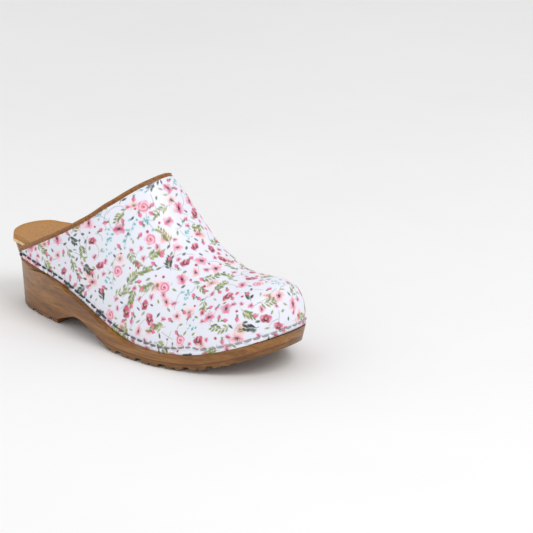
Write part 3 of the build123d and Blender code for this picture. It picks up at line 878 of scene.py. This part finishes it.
cord_pairs = line_on_skin(
    lambda x: edge_z(x) + STITCH_UP,
    [26.5, 35, 45, 57, 70, 85, 100, 115, 130, 145, 158, 168, 176],
    [pi * k / 24 for k in (2.4, 3, 4, 5.5, 7, 8.5, 10, 12, 14, 15.5, 17, 18.5, 20, 21, 21.6)],
    12.5, LAST - 1.5,
)
ct, ca = resample(cord_pairs, STITCH_PITCH)
points = skin(ct, ca)
normals = skin_normal(ct, ca)
starts = points[:-1] * 0.91 + points[1:] * 0.09 + normals[:-1] * 0.12
ends = points[:-1] * 0.09 + points[1:] * 0.91 + normals[1:] * 0.12
# Painted light and shade: the one grey cord is coloured dark grey at the heel, where it lies in shade, and
# light grey towards the toe, where the light falls on it.
mid_x = (starts[:, 0] + ends[:, 0]) / 2
light = np.clip((mid_x - 120) / 110, 0, 1)[:, None]
shade = np.array(srgb(62, 68, 78)) * (1 - light) + np.array(srgb(168, 168, 170)) * light
cord_outs = normals[:-1] + normals[1:]
cord_points, cord_faces, cord_painted_light = stitch_mesh(starts, ends, cord_outs, CORD_R, 5, shade)
cords = make_object("cord_stitches", cord_points, cord_faces, cord_material, colour=cord_painted_light)
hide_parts("edge_stitches")


# ---------------------------------------------------------------- sock with a rolled edge
def rim_loop(outer_out, inner_out):
    """Closed plan outline at an offset from the rim, evenly sampled."""
    inner = [(x, m) for x, _, m in RIM]
    outer = [(x, -l) for x, l, _ in RIM[::-1]]
    loop = np.array(inner + [(LENGTH, TOE_TIP_Y)] + outer + [(0.0, 0.0)])
    d = np.roll(loop, -1, 0) - np.roll(loop, 1, 0)
    d /= np.linalg.norm(d, axis=1, keepdims=True)
    offset = np.where(loop[:, 1] > 0, inner_out(loop[:, 0]), outer_out(loop[:, 0]))
    moved = loop + np.stack([-d[:, 1], d[:, 0]], 1) * offset[:, None]
    k = len(moved)
    ring = np.concatenate([moved[-3:], moved, moved[:3]])
    run = np.r_[0, np.cumsum(np.sqrt(np.linalg.norm(np.diff(ring, axis=0), axis=1)))]
    tangents = np.gradient(ring, run, axis=0)
    u = np.linspace(run[3], run[3 + k], SOCK_STATIONS + 1)[:-1]
    i = np.clip(np.searchsorted(run, u, side="right") - 1, 0, len(run) - 2)
    h = (run[i + 1] - run[i])[:, None]
    f = ((u - run[i]) / h[:, 0])[:, None]
    return (
        ring[i] * (1 + 2 * f) * (1 - f) ** 2 + tangents[i] * h * f * (1 - f) ** 2
        + ring[i + 1] * f * f * (3 - 2 * f) + tangents[i + 1] * h * f * f * (f - 1)
    )


outer_seat = smooth(
    [0, 10, 19, 32, 45, 60, 80, 100, 120, 140, 160, 175, 190, 205, 220, 234, 256],
    [0, 0, -3.7, -3.7, -4.1, -5.3, -6.9, -8.6, -10, -11, -12.2, -12.4, -11.6, -9.2, -5.3, -3.8, -4.4],
)
inner_seat = smooth(
    [0, 10, 19, 160, 190, 205, 220, 234, 256], [0, 0, -3.7, -3.7, -3.9, -4.6, -4, -3.8, -4.4],
)
outline = rim_loop(outer_seat, inner_seat)
middle_line = np.stack([
    np.clip(outline[:, 0], 14, 238),
    np.interp(outline[:, 0], [0, 40, 100, 200, 256], [0, -1, -10, -4, 0]),
], 1)
profile = [  # share of the way out to the rim, height above the seat
    (0.985, 1.4), (1.002, 1.6), (1.008, 2.4), (1.01, 3.6), (1.008, 4.8), (1.0, 5.7), (0.985, 6.25),
    (0.965, 6.4), (0.945, 6.35), (0.92, 6.1), (0.88, 5.8), (0.82, 5.55), (0.72, 5.4), (0.6, 5.32),
    (0.45, 5.28), (0.3, 5.26), (0.15, 5.25), (0.0, 5.25),
]
rows = []
for share, height in profile:
    xy = middle_line + (outline - middle_line) * share
    rows.append(np.c_[xy, seat_z(xy[:, 0]) + height])
sock_grid = np.array(rows)
sock_faces = grid_faces(len(profile), SOCK_STATIONS, wrap=True)
sock = make_object("suede_sock", sock_grid.reshape(-1, 3), sock_faces, suede)
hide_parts("sock_lining")

# ---------------------------------------------------------------- CAD pieces shown as they are
finishes = {
    "sole_body": wood, "heel_tread": tread_wood, "forefoot_tread": tread_wood, "insole_board": cream,
    "footbed_foam": foam, "toe_puff": stiff, "binding_stitches": thread, "rear_rivets": rivet_metal,
}
for node, material in finishes.items():
    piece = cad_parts[node]
    piece.data.materials.clear()
    piece.data.materials.append(material)

# ---------------------------------------------------------------- floor, light, camera
floor_material = grained("floor", ((0.86,) * 3, (0.88,) * 3, (0.9,) * 3), 3, 0.9, 0.0001)
FLOOR_Z = -0.0005  # metres, just clear of the treads
floor_mesh = bpy.data.meshes.new("floor")
corners = [(x, y, FLOOR_Z) for x, y in ((-9, -9), (9, -9), (9, 9), (-9, 9))]
floor_mesh.from_pydata(corners, [], [(0, 1, 2, 3)])
floor_mesh.materials.append(floor_material)
floor = bpy.data.objects.new("floor", floor_mesh)
bpy.context.scene.collection.objects.link(floor)

world = bpy.data.worlds.new("studio")
world.use_nodes = True
world.node_tree.nodes["Background"].inputs["Color"].default_value = (1, 1, 1, 1)
world.node_tree.nodes["Background"].inputs["Strength"].default_value = 0.8
bpy.context.scene.world = world


def area_light(name, place, aim, size, power):
    data = bpy.data.lights.new(name, "AREA")
    data.size = size
    data.energy = power
    lamp = bpy.data.objects.new(name, data)
    bpy.context.scene.collection.objects.link(lamp)
    direction = Vector(aim) - Vector(place)
    turn = direction.to_track_quat("-Z", "Y").to_matrix().to_4x4()
    lamp.matrix_world = Matrix.Translation(Vector(place)) @ turn


area_light("key", (1.1, -0.1, 1.4), (0, 0, 0.05), 0.9, 10)
area_light("fill", (-0.3, -1.3, 0.8), (0, 0, 0.05), 1.0, 1.6)

AZIMUTH, ELEVATION, ROLL = 41.46, 19.06, -0.53  # degrees
DISTANCE = 1.7404  # metres, from the middle of the clog
LENS, SENSOR = 163.66, 36  # millimetres
az, el = radians(AZIMUTH), radians(ELEVATION)
back = Vector((sin(az) * cos(el), -cos(az) * cos(el), sin(el)))
target = Vector(metres([128, 0, 40]).tolist())
data = bpy.data.cameras.new("camera")
data.sensor_width = SENSOR
data.lens = LENS
data.shift_x = 0.214
data.shift_y = 0.02
data.clip_end = 50
camera = bpy.data.objects.new("camera", data)
bpy.context.scene.collection.objects.link(camera)
aim = (-back).to_track_quat("-Z", "Y").to_matrix().to_4x4()
place = Matrix.Translation(target + back * DISTANCE)
camera.matrix_world = place @ aim @ Matrix.Rotation(radians(ROLL), 4, "Z")
bpy.context.scene.camera = camera
bpy.context.scene.view_settings.view_transform = "Standard"
